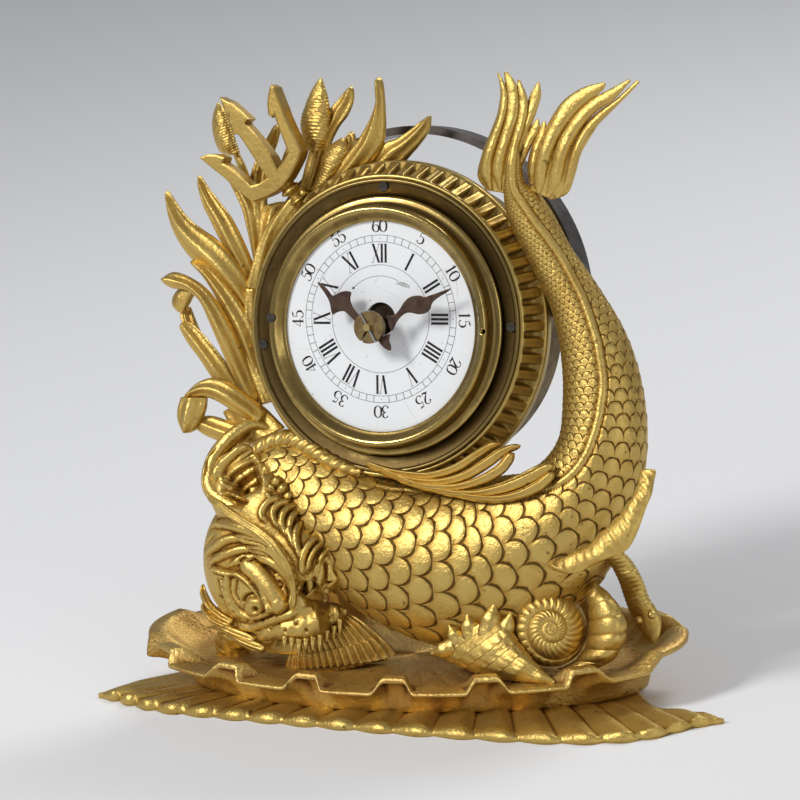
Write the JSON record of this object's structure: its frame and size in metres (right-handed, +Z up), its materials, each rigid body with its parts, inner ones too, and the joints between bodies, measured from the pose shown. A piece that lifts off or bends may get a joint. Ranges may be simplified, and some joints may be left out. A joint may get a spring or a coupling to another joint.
{
  "type": "table clock",
  "caption": "Table clock: a cast dolphin rises from a scalloped shell tray on a rayed leaf base and wraps a leaning round drum with enamel dial, reeds, trident and carrying handle.",
  "frame": {"origin": "on the table under the middle of the base plate, on the plate's underside", "axes": "+X to the viewer's right along the base, +Y to the back of the clock, +Z up"},
  "size_m": [0.188, 0.0848, 0.1673],
  "materials": {
    "gilt_bronze": "fire-gilt bronze, bright on the crests, brown in the recesses",
    "aged_brass": "dark patinated brass",
    "movement_brass": "plain polished brass",
    "enamel": "white vitreous enamel on copper",
    "hand_steel": "dark browned steel",
    "collet_brass": "aged brass",
    "handle_steel": "dull grey steel",
    "screw_steel": "dull steel",
    "bright_steel": "polished steel"
  },
  "bodies": {
    "case": {"dolphin_body": "gilt_bronze", "dolphin_head": "gilt_bronze", "gill_hood": "gilt_bronze", "head_crest": "gilt_bronze", "dorsal_fin": "gilt_bronze", "pectoral_fin": "gilt_bronze", "tail_fluke_right": "gilt_bronze", "tail_fluke_left": "gilt_bronze", "reed_leaves_lower": "gilt_bronze", "reed_leaves_upper": "gilt_bronze", "cattails": "gilt_bronze", "trident": "gilt_bronze", "throat_fin": "gilt_bronze", "cheek_fin": "gilt_bronze", "eel": "gilt_bronze", "snail_shell": "gilt_bronze", "conch_shell": "gilt_bronze", "base_plate": "gilt_bronze", "shell_tray": "gilt_bronze", "bezel_moulding": "gilt_bronze", "bezel_flange": "aged_brass", "fluted_ring": "aged_brass", "drum_shell": "aged_brass", "back_cover": "aged_brass", "front_plate": "movement_brass", "back_plate": "movement_brass", "movement_pillars": "movement_brass", "balance_cock": "movement_brass", "dial": "enamel", "bezel_screw": "screw_steel", "flange_screws": "screw_steel", "pillar_screws": "screw_steel", "movement_screws": "screw_steel", "click_screw": "screw_steel", "cock_screw": "screw_steel", "handle_screws": "screw_steel", "base_screws": "screw_steel", "click_spring": "bright_steel", "balance_spring": "bright_steel", "minute_stud": "bright_steel"},
    "minute": {"minute_hand": "hand_steel", "hand_collet": "collet_brass", "taper_pin": "bright_steel", "centre_arbor": "movement_brass", "cannon_pinion": "bright_steel"},
    "hour": {"hour_wheel": "movement_brass", "hour_hand": "hand_steel"},
    "minute_wheel": {"minute_wheel": "movement_brass"},
    "barrel": {"mainspring_barrel": "movement_brass", "mainspring": "bright_steel"},
    "third": {"third_arbor": "movement_brass"},
    "escape": {"escape_arbor": "movement_brass"},
    "balance": {"balance": "movement_brass"},
    "winding": {"winding_arbor": "bright_steel", "ratchet_wheel": "bright_steel"},
    "click": {"click": "bright_steel"},
    "handle": {"carrying_handle": "handle_steel"}
  },
  "joints": [
    {"name": "minute_hand_turn", "type": "hinge", "parent": "case", "child": "minute", "pos_m": [-0.005, 0.01891, 0.10223], "axis": [0, 0.9781, -0.2079], "continuous": true},
    {"name": "hour_hand_turn", "type": "hinge", "parent": "case", "child": "hour", "pos_m": [-0.005, 0.01891, 0.10223], "axis": [0, 0.9781, -0.2079], "continuous": true},
    {"name": "minute_wheel_turn", "type": "hinge", "parent": "case", "child": "minute_wheel", "pos_m": [0.001, 0.01675, 0.09206], "axis": [0, 0.9781, -0.2079], "continuous": true},
    {"name": "barrel_turn", "type": "hinge", "parent": "case", "child": "barrel", "pos_m": [-0.02079, 0.01771, 0.09661], "axis": [0, 0.9781, -0.2079], "continuous": true},
    {"name": "third_arbor_turn", "type": "hinge", "parent": "case", "child": "third", "pos_m": [0.0018, 0.02136, 0.11375], "axis": [0, 0.9781, -0.2079], "continuous": true},
    {"name": "escape_arbor_turn", "type": "hinge", "parent": "case", "child": "escape", "pos_m": [0.01302, 0.02001, 0.10741], "axis": [0, 0.9781, -0.2079], "continuous": true},
    {"name": "balance_swing", "type": "hinge", "parent": "case", "child": "balance", "pos_m": [0.01302, 0.01835, 0.09959], "axis": [0, 0.9781, -0.2079], "range_deg": [-130, 130], "stiffness_Nm_per_rad": 0.000002},
    {"name": "winding_turn", "type": "hinge", "parent": "case", "child": "winding", "pos_m": [-0.02079, 0.01771, 0.09661], "axis": [0, 0.9781, -0.2079], "continuous": true},
    {"name": "click_lift", "type": "hinge", "parent": "case", "child": "click", "pos_m": [-0.02449, 0.01904, 0.10288], "axis": [0, 0.9781, -0.2079], "range_deg": [-6, 0], "stiffness_Nm_per_rad": 0.00001},
    {"name": "handle_swing", "type": "hinge", "parent": "case", "child": "handle", "pos_m": [-0.005, 0.04713, 0.10083], "axis": [-1, 0, 0], "range_deg": [0, 95]}
  ],
  "couplings": [
    {"joint": "hour_hand_turn", "follows": "minute_hand_turn", "ratio": 0.083333},
    {"joint": "minute_wheel_turn", "follows": "minute_hand_turn", "ratio": -0.33333},
    {"joint": "barrel_turn", "follows": "minute_hand_turn", "ratio": -0.16667},
    {"joint": "third_arbor_turn", "follows": "minute_hand_turn", "ratio": -7.5},
    {"joint": "escape_arbor_turn", "follows": "minute_hand_turn", "ratio": 60}
  ]
}
